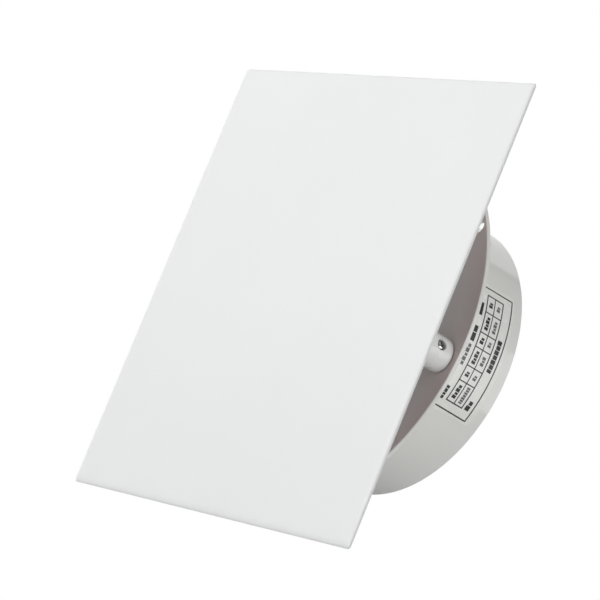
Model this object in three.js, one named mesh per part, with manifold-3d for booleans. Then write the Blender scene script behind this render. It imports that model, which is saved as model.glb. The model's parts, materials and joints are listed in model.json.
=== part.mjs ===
// Wall exhaust fan with a flat square front panel, in millimetres.
// Frame: the origin is on the fan's axis in the wall plane (the back face of the round flange).
// +Y runs with the air, out of the room and into the duct. -Y points into the room. +Z is up.
// Angles in the plan of the fan are measured about the Y axis, from +X towards +Z.
import * as THREE from "three";
import { mergeVertices } from "three/addons/utils/BufferGeometryUtils.js";
import Module from "manifold-3d";

// ---------------------------------------------------------------- driving dimensions
const PANEL_SIDE = 189.6; // square front panel
const PANEL_FRONT_Y = -28.3;
const PANEL_WIDEST_Y = -27.4; // where the front edge's rounding reaches full width
const PANEL_BACK_Y = -25.8; // back face of the panel
const PANEL_CORNER_R = 1.6;
const PANEL_ROUND = 2.8; // width of the front edge's rounding
const PANEL_BACK_INSET = 2.4; // the back edge slopes inwards by this much

const FLANGE_R = 80;
const FLANGE_T = 2;
const SPIGOT_R = 59.3; // for a 120 mm duct
const SPIGOT_WALL = 2;
const SPIGOT_L = 40.45;
const INLET_ROUND = 4; // rounding of the inlet mouth

const FIX_HOLE_PCR = 75.8; // wall screws
const FIX_HOLE_R = 2.1;
const FIX_SINK_R = 3.05;
const FIX_SINK_DEPTH = 1.1;
const FIX_HOLE_ANGLE = 36.4;

const POST_PCR = 70.35; // panel posts
const POST_ANGLE = -7.46;
const POST_R = 7.08;
const POST_FOOT_R = 10.4;
const POST_END_Y = -2.25;
const STUD_R = 3.5;
const STUD_L = 12;
const POST_BORE_R = 3.85;
const POST_BORE_END_Y = -16;
const CLAMP_Y = -8.68; // height of the clamp screw
const CLAMP_DIR = 22.5; // direction that the right clamp screw faces

const ARM_ANGLES = [45, 135, 225, 315];
const BOSS_PCR = 66;
const BOSS_TOP_Y = -8;
const BRACKET_T = 2;

const MOTOR_R = 27;
const MOTOR_WALL = 1.7;
const MOTOR_FRONT_Y = -8;
const MOTOR_REAR_Y = 20;
const MOTOR_SPLIT_Y = 6;
const BOLT_PCR = 19.8;
const BEARING_R = 8;
const SHAFT_R = 2.5;
const STACK_Y0 = -1;
const STACK_Y1 = 13;
const ROTOR_R = 12;

const HUB_R = 26;
const HUB_Y0 = 22;
const HUB_Y1 = 38;
const BLADE_TIP_R = 55.5;
const BLADE_COUNT = 7;

const COVER_R0 = 61.8; // terminal cover, a sector on the flange
const COVER_R1 = 78.4;
const COVER_A0 = 238;
const COVER_A1 = 291;
const COVER_TOP_Y = -15;
const BLOCK_ANGLE = 250;
const CLAMPBAR_ANGLE = 270;
const COVER_SCREW_ANGLE = 262.2;
const GROMMET_ANGLE = 282.5;
const TERMINAL_PCR = 70.1;
const CLAMP_SCREW_R = [66, 74.2]; // screws of the cable clamp

// ---------------------------------------------------------------- helpers
const wasm = await Module();
wasm.setup();
const rad = THREE.MathUtils.degToRad;

// A closed geometry as a solid. Turns it the right way out if its faces point inwards.
function solid(geometry) {
  const g = geometry.index ? geometry.toNonIndexed() : geometry.clone();
  for (const name of Object.keys(g.attributes))
    if (name !== "position") g.deleteAttribute(name);
  const merged = mergeVertices(g, 1e-4);
  const source = merged.index.array;
  const keep = [];
  for (let i = 0; i < source.length; i += 3) {
    const [a, b, c] = [source[i], source[i + 1], source[i + 2]];
    if (a !== b && b !== c && c !== a) keep.push(a, b, c);
  }
  const make = (tri) =>
    new wasm.Manifold(
      new wasm.Mesh({
        numProp: 3,
        vertProperties: new Float32Array(merged.attributes.position.array),
        triVerts: new Uint32Array(tri),
      }),
    );
  let s = make(keep);
  if (s.volume() < 0) {
    for (let i = 0; i < keep.length; i += 3)
      [keep[i + 1], keep[i + 2]] = [keep[i + 2], keep[i + 1]];
    s = make(keep);
  }
  return s;
}

const asSolid = (g) => (g.isBufferGeometry ? solid(g) : g);
const join = (...list) =>
  list.flat().map(asSolid).reduce((a, b) => a.add(b));
const cut = (from, ...tools) =>
  tools.flat().map(asSolid).reduce((a, b) => a.subtract(b), asSolid(from));

function toGeometry(s) {
  const m = s.getMesh();
  const n = m.numProp;
  const pos = new Float32Array((m.vertProperties.length / n) * 3);
  for (let i = 0; i < pos.length / 3; i++)
    for (let k = 0; k < 3; k++) pos[3 * i + k] = m.vertProperties[n * i + k];
  const g = new THREE.BufferGeometry();
  g.setAttribute("position", new THREE.BufferAttribute(pos, 3));
  g.setIndex(new THREE.BufferAttribute(new Uint32Array(m.triVerts), 1));
  g.computeVertexNormals();
  return g;
}

// Revolves a profile of [radius, y] points about the Y axis.
function lathe(profile, segments, closed = false) {
  const pts = profile.map(([r, y]) => new THREE.Vector2(r, y));
  if (closed) pts.push(pts[0].clone());
  return new THREE.LatheGeometry(pts, segments);
}
// A round bar along Y.
function bar(r, y0, y1, segments = 24, x = 0, z = 0) {
  return new THREE.CylinderGeometry(r, r, y1 - y0, segments)
    .translate(x, (y0 + y1) / 2, z);
}
function block(x0, x1, y0, y1, z0, z1) {
  return new THREE.BoxGeometry(x1 - x0, y1 - y0, z1 - z0)
    .translate((x0 + x1) / 2, (y0 + y1) / 2, (z0 + z1) / 2);
}
// Turns a geometry that lies on the +X side to an angle about the fan's axis.
const at = (geometry, angle) => geometry.clone().rotateY(-rad(angle));
const polar = (r, angle, y = 0) =>
  new THREE.Vector3(r * Math.cos(rad(angle)), y, r * Math.sin(rad(angle)));

// A flat shape in the XZ plane made y0..y1 thick.
function plate(shape, y0, y1, curveSegments = 12) {
  return new THREE.ExtrudeGeometry(shape, {
    depth: y1 - y0,
    bevelEnabled: false,
    curveSegments,
  })
    .rotateX(Math.PI / 2)
    .translate(0, y1, 0);
}
// A flat sector between two radii and two angles.
function sector(r0, r1, a0, a1) {
  const s = new THREE.Shape();
  s.absarc(0, 0, r1, rad(a0), rad(a1), false);
  s.absarc(0, 0, r0, rad(a1), rad(a0), true);
  s.closePath();
  return s;
}

// A closed skin through convex rings of points, each ring with the same number of points.
function loft(rings) {
  const n = rings[0].length;
  const centre = (ring) => [0, 1, 2].map((k) => ring.reduce((sum, q) => sum + q[k], 0) / n);
  const points = [...rings.flat(), centre(rings[0]), centre(rings.at(-1))];
  const index = [];
  for (let j = 0; j < n; j++) {
    const k = (j + 1) % n;
    for (let i = 0; i + 1 < rings.length; i++) {
      const [a, b, c, d] = [i * n + j, i * n + k, (i + 1) * n + k, (i + 1) * n + j];
      index.push(a, b, c, a, c, d);
    }
    const last = (rings.length - 1) * n;
    index.push(k, j, rings.length * n, last + j, last + k, rings.length * n + 1);
  }
  const g = new THREE.BufferGeometry();
  g.setAttribute("position", new THREE.Float32BufferAttribute(points.flat(), 3));
  g.setIndex(index);
  return g;
}

// A screw along Y: head towards -Y with its underside at y = 0, shank towards +Y, and a cross recess.
function screw(headR, headH, shankR, length, segments = 12) {
  const body = lathe(
    [
      [0, -headH],
      [headR * 0.55, -headH],
      [headR * 0.88, -headH * 0.78],
      [headR, -headH * 0.35],
      [headR, 0],
      [shankR, 0],
      [shankR, length - shankR],
      [0, length],
    ],
    segments,
  );
  const w = headR * 0.26;
  const l = headR * 1.16;
  return cut(
    body,
    block(-l / 2, l / 2, -headH - 1, -headH * 0.45, -w / 2, w / 2),
    block(-w / 2, w / 2, -headH - 1, -headH * 0.45, -l / 2, l / 2),
  );
}

// ---------------------------------------------------------------- scene graph
const fan = new THREE.Group();
fan.name = "exhaust_fan";

const FINISH = {
  panel: { color: 0xeef0ef, roughness: 0.35, metalness: 0 },
  housing: { color: 0xe9e8e6, roughness: 0.5, metalness: 0 },
  impeller: { color: 0xdfe1e2, roughness: 0.45, metalness: 0 },
  label: { color: 0xf1f1f0, roughness: 0.4, metalness: 0 },
  chrome: { color: 0xd0d2d4, roughness: 0.18, metalness: 1 },
  zinc: { color: 0xb6b8ba, roughness: 0.35, metalness: 1 },
  steel: { color: 0x8d9093, roughness: 0.4, metalness: 1 },
  shell: { color: 0xd9dadb, roughness: 0.5, metalness: 0 },
  copper: { color: 0xa8512a, roughness: 0.4, metalness: 0.8 },
  rubber: { color: 0x232425, roughness: 0.85, metalness: 0 },
  lead: { color: 0xe2e2df, roughness: 0.6, metalness: 0 },
  block: { color: 0xeceadf, roughness: 0.55, metalness: 0 },
};

function piece(name, shape, finish, parent = fan) {
  const mesh = new THREE.Mesh(
    toGeometry(asSolid(shape)),
    new THREE.MeshStandardMaterial(FINISH[finish]),
  );
  mesh.name = name;
  parent.add(mesh);
  return mesh;
}

// ---------------------------------------------------------------- front panel
{
  // outlines of the panel as [inset from the full width, y], from front to back
  const outlines = [];
  for (let i = 0; i <= 5; i++) {
    const t = rad(18 * i);
    outlines.push([
      PANEL_ROUND * (1 - Math.sin(t)),
      PANEL_WIDEST_Y + (PANEL_FRONT_Y - PANEL_WIDEST_Y) * Math.cos(t),
    ]);
  }
  outlines.push([PANEL_BACK_INSET, PANEL_BACK_Y]);
  const g = loft(
    outlines.map(([inset, y]) => {
      const r = PANEL_CORNER_R - inset * 0.45;
      const c = PANEL_SIDE / 2 - inset - r;
      const ring = [];
      for (const [sx, sz, start] of [[1, 1, 0], [-1, 1, 90], [-1, -1, 180], [1, -1, 270]])
        for (let k = 0; k <= 4; k++) {
          const q = rad(start + 22.5 * k);
          ring.push([sx * c + r * Math.cos(q), y, sz * c + r * Math.sin(q)]);
        }
      return ring;
    }),
  );
  piece("front_panel", g, "panel");
}

// ---------------------------------------------------------------- housing: flange, spigot, studs and bosses
// One moulding. Its simple shapes are nodes of their own and only touch, so that collision follows each of them.
const SIDES = ["upper_right", "upper_left", "lower_left", "lower_right"];
const flangeFront = -FLANGE_T;
{
  const inner = SPIGOT_R - SPIGOT_WALL;
  const mouth = (degrees) => [
    inner + INLET_ROUND * (1 - Math.cos(rad(degrees))),
    flangeFront + INLET_ROUND * (1 - Math.sin(rad(degrees))),
  ];
  piece(
    "duct_spigot",
    lathe([[inner, SPIGOT_L], mouth(0), mouth(30), mouth(60), [SPIGOT_R, SPIGOT_L]], 72, true),
    "housing",
  );

  let flange = solid(
    lathe(
      [
        mouth(60),
        mouth(90),
        [FLANGE_R - 0.5, flangeFront],
        [FLANGE_R, flangeFront + 0.5],
        [FLANGE_R, 0],
        [SPIGOT_R, 0],
      ],
      72,
      true,
    ),
  );
  // hole for the cable grommet
  flange = cut(flange, at(bar(5.2, -3, 1, 16, TERMINAL_PCR), GROMMET_ANGLE));
  // four countersunk holes for the wall screws
  for (let i = 0; i < 4; i++) {
    const a = FIX_HOLE_ANGLE + 90 * i;
    flange = cut(
      flange,
      at(bar(FIX_HOLE_R, -3, 1, 16, FIX_HOLE_PCR), a),
      at(
        new THREE.CylinderGeometry(FIX_HOLE_R - 0.01, FIX_SINK_R, FIX_SINK_DEPTH, 16)
          .translate(FIX_HOLE_PCR, flangeFront + FIX_SINK_DEPTH / 2 - 0.001, 0),
        a,
      ),
    );
  }
  piece("wall_flange", flange, "housing");

  // studs that the panel posts slip over
  for (const [side, a] of [["right", POST_ANGLE], ["left", POST_ANGLE + 180]])
    piece(
      "panel_stud_" + side,
      at(
        lathe(
          [
            [0, flangeFront - STUD_L],
            [STUD_R - 1, flangeFront - STUD_L],
            [STUD_R, flangeFront - STUD_L + 1],
            [STUD_R, flangeFront],
            [0, flangeFront],
          ],
          20,
        ).translate(POST_PCR, 0, 0),
        a,
      ),
      "housing",
    );
  // bosses with pilot holes, for the motor bracket, the cable clamp and the terminal cover
  const boss = (name, radius, top, pilot, pilotEnd, segments, r, a) =>
    piece(
      name,
      at(
        toGeometry(
          cut(
            bar(radius, top, flangeFront, segments, r),
            bar(pilot, top - 1, pilotEnd, Math.round(segments * 0.65), r),
          ),
        ),
        a,
      ),
      "housing",
    );
  ARM_ANGLES.forEach((a, i) =>
    boss("bracket_boss_" + SIDES[i], 4, BOSS_TOP_Y, 1.5, -2.4, 16, BOSS_PCR, a));
  boss("clamp_boss_inner", 2.1, -6, 1.3, -2.2, 12, CLAMP_SCREW_R[0], CLAMPBAR_ANGLE);
  boss("clamp_boss_outer", 2.1, -6, 1.3, -2.2, 12, CLAMP_SCREW_R[1], CLAMPBAR_ANGLE);
  boss("cover_boss", 2.2, -12.8, 1.3, -4, 12, TERMINAL_PCR, COVER_SCREW_ANGLE);
}

piece(
  "rating_label",
  plate(sector(SPIGOT_R + 0.05, SPIGOT_R + 0.25, -25, 29.5), 3, 35.3, 15),
  "label",
);

// ---------------------------------------------------------------- panel posts and clamp screws
function panelPost() {
  const r = POST_R;
  const body = lathe(
    [
      [0, PANEL_BACK_Y],
      [POST_FOOT_R, PANEL_BACK_Y],
      [POST_FOOT_R, PANEL_BACK_Y + 1.6],
      [r + 1.2, PANEL_BACK_Y + 2],
      [r, PANEL_BACK_Y + 3.2],
      [r, POST_END_Y - 0.5],
      [r - 0.5, POST_END_Y],
      [POST_BORE_R, POST_END_Y],
      [POST_BORE_R, POST_BORE_END_Y],
      [0, POST_BORE_END_Y],
    ],
    24,
  );
  // the clamp screw's hole and counterbore, along +X
  const bore = (radius, x0, x1) =>
    new THREE.CylinderGeometry(radius, radius, x1 - x0, 16)
      .rotateZ(Math.PI / 2)
      .translate((x0 + x1) / 2, CLAMP_Y, 0);
  return cut(body, bore(1.75, 0, 9), bore(2.3, POST_R - 1.9, 9));
}
function clampScrew() {
  return screw(2, 1.5, 1.4, 1.65, 16);
}
for (const [side, a, facing] of [
  ["right", POST_ANGLE, CLAMP_DIR],
  ["left", POST_ANGLE + 180, CLAMP_DIR + 180],
]) {
  const post = piece("panel_post_" + side, panelPost(), "housing");
  post.position.copy(polar(POST_PCR, a));
  post.rotation.y = -rad(facing);
  const s = piece("clamp_screw_" + side, clampScrew(), "chrome");
  const out = polar(1, facing);
  s.position
    .copy(polar(POST_PCR, a, CLAMP_Y))
    .addScaledVector(out, POST_R - 1.6);
  s.quaternion.setFromUnitVectors(
    new THREE.Vector3(0, 1, 0),
    out.clone().negate(),
  );
}

// ---------------------------------------------------------------- motor bracket
{
  const y0 = BOSS_TOP_Y - BRACKET_T;
  let body = solid(bar(28, y0, BOSS_TOP_Y, 32));
  for (const a of ARM_ANGLES) {
    const arm = new THREE.Shape();
    arm.moveTo(22, -5);
    arm.lineTo(BOSS_PCR, -3.8);
    arm.absarc(BOSS_PCR, 0, 4.8, -Math.PI / 2, Math.PI / 2, false);
    arm.lineTo(22, 5);
    arm.closePath();
    body = join(
      body,
      at(plate(arm, y0, BOSS_TOP_Y, 6), a),
      at(block(16, 58, y0 - 2.6, y0 + 0.5, -1, 1), a),
    );
  }
  // raised ring round the front bearing seat
  body = join(body, bar(15, y0 - 2.6, y0 + 0.5, 24));
  body = cut(body, bar(11.1, y0 - 4, BOSS_TOP_Y + 1, 24));
  for (const a of ARM_ANGLES) {
    body = cut(body, at(bar(1.8, y0 - 1, BOSS_TOP_Y + 1, 10, BOSS_PCR), a));
    body = cut(
      body,
      at(bar(1.9, y0 - 4, BOSS_TOP_Y + 1, 10, BOLT_PCR), a),
      at(bar(3.4, y0 - 4, y0, 12, BOLT_PCR), a),
    );
  }
  piece("motor_bracket", body, "housing");
  ARM_ANGLES.forEach((a, i) => {
    const b = piece("bracket_screw_" + SIDES[i], screw(3, 1.9, 1.15, 6.6), "zinc");
    b.position.copy(polar(BOSS_PCR, a, y0));
    const m = piece("motor_screw_" + SIDES[i], screw(2.7, 1.8, 1.45, 27.2, 12), "zinc");
    m.position.copy(polar(BOLT_PCR, a, y0));
  });
}

// ---------------------------------------------------------------- motor
{
  const wall = MOTOR_R - MOTOR_WALL;
  let front = solid(
    lathe(
      [
        [0, -12],
        [9.7, -12],
        [10.5, -11.2],
        [10.5, MOTOR_FRONT_Y],
        [MOTOR_R - 1, MOTOR_FRONT_Y],
        [MOTOR_R, MOTOR_FRONT_Y + 1],
        [MOTOR_R, MOTOR_SPLIT_Y - 0.3],
        [wall, MOTOR_SPLIT_Y - 0.3],
        [wall, MOTOR_FRONT_Y + 1.5],
        [BEARING_R + 0.15, MOTOR_FRONT_Y + 1.5],
        [BEARING_R + 0.15, -11.2],
        [0, -11.2],
      ],
      28,
    ),
  );
  for (const a of ARM_ANGLES)
    front = cut(front, at(bar(1.9, -9, -6, 10, BOLT_PCR), a));
  // way out for the lead
  front = cut(
    front,
    at(
      new THREE.CylinderGeometry(2, 2, 6, 12)
        .rotateZ(Math.PI / 2)
        .translate(MOTOR_R, -4.4, 0),
      229,
    ),
  );
  piece("motor_shell_front", front, "shell");

  let rear = solid(
    lathe(
      [
        [4, MOTOR_REAR_Y],
        [MOTOR_R - 1.5, MOTOR_REAR_Y],
        [MOTOR_R, MOTOR_REAR_Y - 1.5],
        [MOTOR_R, MOTOR_SPLIT_Y + 0.3],
        [wall, MOTOR_SPLIT_Y + 0.3],
        [wall, MOTOR_REAR_Y - 1.5],
        [10.5, MOTOR_REAR_Y - 1.5],
        [10.5, 13.5],
        [BEARING_R + 0.15, 13.5],
        [BEARING_R + 0.15, 18.7],
        [4, 18.7],
      ],
      28,
      true,
    ),
  );
  for (const a of ARM_ANGLES) {
    rear = join(rear, at(bar(3.2, 14, 19, 12, BOLT_PCR), a));
    rear = cut(rear, at(bar(1.85, 13, 18.3, 10, BOLT_PCR), a));
  }
  piece("motor_shell_rear", rear, "shell");

  const ring = (r0, r1, y0, y1, n) =>
    lathe([[r0, y0], [r1, y0], [r1, y1], [r0, y1]], n, true);
  let core = join(
    ring(22, 25, STACK_Y0, STACK_Y1, 28),
    ring(ROTOR_R + 0.5, 14.2, STACK_Y0, STACK_Y1, 28),
  );
  for (const a of [0, 90, 180, 270])
    core = join(core, at(block(13.4, 23, STACK_Y0, STACK_Y1, -4, 4), a));
  for (const a of ARM_ANGLES)
    core = cut(core, at(block(10, 16, STACK_Y0 - 1, STACK_Y1 + 1, -2.2, 2.2), a));
  piece("stator_core", core, "steel");

  [["right", 0], ["top", 90], ["left", 180], ["bottom", 270]].forEach(([n, a]) => {
    const coil = cut(
      block(14.7, 20.4, STACK_Y0 - 3.2, STACK_Y1 + 3.2, -7.3, 7.3),
      block(14, 21, STACK_Y0 - 0.3, STACK_Y1 + 0.3, -4.35, 4.35),
    );
    piece("stator_coil_" + n, coil, "copper").rotation.y = -rad(a);
  });

  piece(
    "thermal_fuse",
    new THREE.CylinderGeometry(0.85, 0.85, 8, 12)
      .rotateZ(Math.PI / 2)
      .translate(0, -5.35, 17.5),
    "steel",
  );

  const bearing = () =>
    lathe(
      [
        [SHAFT_R + 0.08, 0],
        [BEARING_R - 0.4, 0],
        [BEARING_R, 0.4],
        [BEARING_R, 4.6],
        [BEARING_R - 0.4, 5],
        [SHAFT_R + 0.08, 5],
      ],
      20,
      true,
    );
  piece("front_bearing", bearing(), "steel").position.y = -11.1;
  piece("rear_bearing", bearing(), "steel").position.y = 13.6;

  piece(
    "motor_shaft",
    lathe(
      [
        [0, -10.8],
        [SHAFT_R - 0.4, -10.8],
        [SHAFT_R, -10.4],
        [SHAFT_R, 33.9],
        [1.95, 33.9],
        [1.95, 38.6],
        [1.6, 39],
        [0, 39],
      ],
      20,
    ),
    "steel",
  );
  piece(
    "rotor_core",
    lathe(
      [
        [SHAFT_R + 0.08, -0.8],
        [9, -0.8],
        [9.4, 0.1],
        [ROTOR_R, 0.1],
        [ROTOR_R, 11.9],
        [9.4, 11.9],
        [9, 12.8],
        [SHAFT_R + 0.08, 12.8],
      ],
      20,
      true,
    ),
    "steel",
  );
}

// ---------------------------------------------------------------- impeller
{
  const hub = solid(
    lathe(
      [
        [SHAFT_R + 0.08, 23],
        [6, 23],
        [6.4, 32],
        [9, 32],
        [11, 35.8],
        [HUB_R - 2, 35.8],
        [HUB_R - 2, HUB_Y0],
        [HUB_R, HUB_Y0],
        [HUB_R, HUB_Y1 - 1.6],
        [HUB_R - 0.5, HUB_Y1 - 0.5],
        [HUB_R - 1.6, HUB_Y1],
        [11, HUB_Y1],
        [9, 34],
        [SHAFT_R + 0.08, 34],
      ],
      32,
      true,
    ),
  );
  // One blade: a box bent into a twisted, cambered and swept aerofoil plate.
  const blade = new THREE.BoxGeometry(1, 1, 1, 5, 1, 4);
  const p = blade.attributes.position;
  for (let i = 0; i < p.count; i++) {
    const a = p.getX(i) + 0.5; // root to tip
    const c = p.getZ(i); // along the chord, -0.5 leading, 0.5 trailing
    const r = 24.8 + a * (BLADE_TIP_R - 24.8);
    const pitch = rad(47 - 21 * a);
    const chord = 18.5 + 11 * a;
    const thick = (2 - 0.8 * a) * (1 - 1.9 * c * c);
    const camber = 0.05 * chord * (1 - 4 * c * c);
    const s = c * chord;
    const n = p.getY(i) * thick + camber;
    const tangential = s * Math.cos(pitch) - n * Math.sin(pitch);
    const axial = s * Math.sin(pitch) + n * Math.cos(pitch);
    const angle = tangential / r - rad(9) * a * a;
    p.setXYZ(i, r * Math.cos(angle), 30 + axial, r * Math.sin(angle));
  }
  let wheel = hub;
  for (let i = 0; i < BLADE_COUNT; i++)
    wheel = join(wheel, at(blade, (360 / BLADE_COUNT) * i + 12));
  piece("impeller", wheel, "impeller");

  piece(
    "impeller_washer",
    lathe([[2.2, 34.15], [6.2, 34.15], [6.2, 34.95], [2.2, 34.95]], 16, true),
    "zinc",
  );
  const hex = new THREE.CylinderGeometry(4.05, 4.05, 3, 6).translate(0, 36.6, 0);
  piece("impeller_nut", cut(hex, bar(2.1, 34, 40, 12)), "zinc");
}

// ---------------------------------------------------------------- terminals, cover, grommet, clamp, lead
{
  // terminal block, a two-way strip
  const y0 = -13;
  const y1 = flangeFront - 0.3;
  let strip = join(
    block(65.1, 75.1, -8, y1, -9.5, 9.5),
    block(66.1, 74.1, y0, -7.5, -8.7, -1.2),
    block(66.1, 74.1, y0, -7.5, 1.2, 8.7),
  );
  for (const z of [-4.95, 4.95])
    strip = cut(strip, bar(2.2, y0 - 1, -6.5, 12, TERMINAL_PCR, z));
  // ways in for the wires, at both ends
  for (const z of [-10, 10])
    strip = cut(
      strip,
      block(68, 72.2, -6.6, -3.4, Math.min(z, z * 0.75), Math.max(z, z * 0.75)),
    );
  piece("terminal_block", strip, "block").rotation.y = -rad(BLOCK_ANGLE);
  const seat = new THREE.Group();
  seat.rotation.y = -rad(BLOCK_ANGLE);
  fan.add(seat);
  for (const [n, z] of [["live", -4.95], ["neutral", 4.95]])
    piece("terminal_screw_" + n, screw(1.8, 1.3, 1.1, 3, 10), "zinc", seat)
      .position.set(TERMINAL_PCR, -10, z);

  // cover over the terminals
  const outer = plate(sector(COVER_R0, COVER_R1, COVER_A0, COVER_A1), COVER_TOP_Y, flangeFront - 0.3, 12);
  const inner = plate(sector(COVER_R0 + 1.5, COVER_R1 - 1.5, COVER_A0 + 1.3, COVER_A1 - 1.3), COVER_TOP_Y + 1.6, 0, 12);
  let cover = cut(outer, inner);
  cover = cut(cover, at(bar(1.7, -17, -12, 12, TERMINAL_PCR), COVER_SCREW_ANGLE));
  // slot for the motor lead in the end wall, cut as a short stretch of that wall
  cover = cut(cover, plate(sector(66.6, 71.6, COVER_A0 - 1, COVER_A0 + 2.5), -7.6, 0, 4));
  piece("terminal_cover", cover, "housing");
  piece("terminal_cover_screw", screw(2.8, 1.8, 1, 7, 12), "zinc")
    .position.copy(polar(TERMINAL_PCR, COVER_SCREW_ANGLE, COVER_TOP_Y - 0.1));

  // grommet where the supply cable comes through the flange
  piece(
    "cable_grommet",
    lathe(
      [[4, -3.9], [6.3, -3.9], [6.3, -2.3], [4.85, -2.1], [4.85, -0.2], [4, -0.2]],
      16,
      true,
    ),
    "rubber",
  ).position.copy(polar(TERMINAL_PCR, GROMMET_ANGLE));

  // cable clamp bar and its screws
  const clamp = new THREE.Group();
  clamp.rotation.y = -rad(CLAMPBAR_ANGLE);
  fan.add(clamp);
  let strap = join(
    block(63.7, 76.5, -8, -6.3, -2.6, 2.6),
    block(68.4, 71.8, -6.5, -5.5, -2.6, 2.6),
  );
  for (const r of CLAMP_SCREW_R) strap = cut(strap, bar(1.4, -9, -5, 12, r));
  piece("cable_clamp", strap, "block", clamp);
  for (const [n, r] of [["inner", CLAMP_SCREW_R[0]], ["outer", CLAMP_SCREW_R[1]]])
    piece("cable_clamp_screw_" + n, screw(2.1, 1.4, 0.95, 5, 10), "zinc", clamp)
      .position.set(r, -8.3, 0);

  // motor lead, under the lower left arm and into the cover
  const path = new THREE.CatmullRomCurve3([
    polar(27.6, 229, -4.4),
    polar(30.5, 228.2, -4.7),
    polar(34.5, 226.4, -5.9),
    polar(40, 225.2, -6.2),
    polar(48, 225, -6.2),
    polar(54, 226.2, -6.1),
    polar(59.5, 229.6, -5.6),
    polar(65, 234, -5.1),
    polar(69, 238.2, -5),
    polar(70, 241.2, -5),
  ]);
  const round = new THREE.Shape();
  for (let i = 0; i < 8; i++) {
    const a = (i / 8) * 2 * Math.PI;
    const [x, y] = [1.45 * Math.cos(a), 1.45 * Math.sin(a)];
    i ? round.lineTo(x, y) : round.moveTo(x, y);
  }
  round.closePath();
  piece(
    "motor_lead",
    new THREE.ExtrudeGeometry(round, { steps: 22, bevelEnabled: false, extrudePath: path }),
    "lead",
  );

  // cable tie round the arm and the lead
  const tie = cut(
    block(42.5, 45.5, -13.9, -4.1, -6, 6),
    block(42, 46, -12.95, -4.55, -5.25, 5.25),
  );
  piece("cable_tie", tie, "rubber").rotation.y = -rad(225);
}

export default fan;
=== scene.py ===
import json
import math
import bpy
import bmesh
from mathutils import Matrix, Vector


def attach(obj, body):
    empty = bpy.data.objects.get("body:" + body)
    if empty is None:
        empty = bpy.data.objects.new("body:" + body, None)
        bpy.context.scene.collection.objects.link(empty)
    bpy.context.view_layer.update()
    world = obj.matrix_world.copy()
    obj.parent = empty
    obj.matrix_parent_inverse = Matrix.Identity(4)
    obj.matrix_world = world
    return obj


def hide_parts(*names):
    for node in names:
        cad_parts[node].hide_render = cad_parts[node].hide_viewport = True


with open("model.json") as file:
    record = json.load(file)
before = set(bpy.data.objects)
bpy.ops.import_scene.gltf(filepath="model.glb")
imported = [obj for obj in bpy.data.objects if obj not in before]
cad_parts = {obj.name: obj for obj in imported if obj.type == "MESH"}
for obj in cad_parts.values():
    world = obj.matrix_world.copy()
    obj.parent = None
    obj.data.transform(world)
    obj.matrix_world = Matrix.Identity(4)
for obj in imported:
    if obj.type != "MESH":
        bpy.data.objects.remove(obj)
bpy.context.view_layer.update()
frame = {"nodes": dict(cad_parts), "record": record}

scene = bpy.context.scene
MM = 0.001

# ------------------------------------------------------------------ camera
cam_data = bpy.data.cameras.new("camera")
cam_data.sensor_width = 36.0
cam_data.lens = 192.0
cam_data.clip_start = 0.05
cam_data.clip_end = 50.0
cam = bpy.data.objects.new("camera", cam_data)
scene.collection.objects.link(cam)
CAM_RIGHT = Vector((0.5871455, 0.7176129, 0.3745555))
CAM_UP = Vector((-0.0869954, -0.4040911, 0.9105725))
CAM_BACK = Vector((0.8047931, -0.5672231, -0.1748312))
CAM_POS = Vector((1.0182385, -0.7413865, -0.2231412))
m = Matrix.Identity(4)
for i, v in enumerate((CAM_RIGHT, CAM_UP, CAM_BACK, CAM_POS)):
    for k in range(3):
        m[k][i] = v[k]
cam.matrix_world = m
scene.camera = cam
# the direction that was up, with the object leaning back
PHOTO_UP = Vector((0.0, -0.468, 0.884)).normalized()


# ------------------------------------------------------------------ mesh helpers (all sizes in millimetres)
def finish_mesh(bm, name, smooth=35.0, merge=1e-7):
    bmesh.ops.remove_doubles(bm, verts=bm.verts, dist=merge)
    bmesh.ops.recalc_face_normals(bm, faces=bm.faces)
    me = bpy.data.meshes.new(name)
    bm.to_mesh(me)
    bm.free()
    shade(me, smooth)
    ob = bpy.data.objects.new(name, me)
    scene.collection.objects.link(ob)
    return ob


def shade(me, smooth=35.0):
    me.polygons.foreach_set("use_smooth", [True] * len(me.polygons))
    me.set_sharp_from_angle(angle=math.radians(smooth))
    me.update()


def rounded(points, closed=True, n=5, support=0.12):
    """Points (a, b) or (a, b, fillet radius): fillets with a support point on each side, to keep flats flat."""
    out = []
    count = len(points)
    for i, p in enumerate(points):
        r = p[2] if len(p) > 2 else 0.0
        if r <= 0 or (not closed and i in (0, count - 1)):
            out.append((p[0], p[1]))
            continue
        a = Vector(points[i - 1][:2])
        b = Vector(p[:2])
        c = Vector(points[(i + 1) % count][:2])
        la, lc = (a - b).length, (c - b).length
        u, v = (a - b) / la, (c - b) / lc
        half = u.angle(v) / 2
        t = min(r / math.tan(half), 0.48 * min(la, lc))
        rr = t * math.tan(half)
        centre = b + (u + v).normalized() * (rr / math.sin(half))
        p1, p2 = b + u * t, b + v * t
        a0 = math.atan2(p1.y - centre.y, p1.x - centre.x)
        a1 = math.atan2(p2.y - centre.y, p2.x - centre.x)
        d = (a1 - a0 + math.pi) % (2 * math.pi) - math.pi
        if la - t > 3 * support:
            out.append(tuple(p1 + u * support))
        for k in range(n + 1):
            g = a0 + d * k / n
            out.append((centre.x + rr * math.cos(g), centre.y + rr * math.sin(g)))
        if lc - t > 3 * support:
            out.append(tuple(p2 + v * support))
    return out


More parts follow.
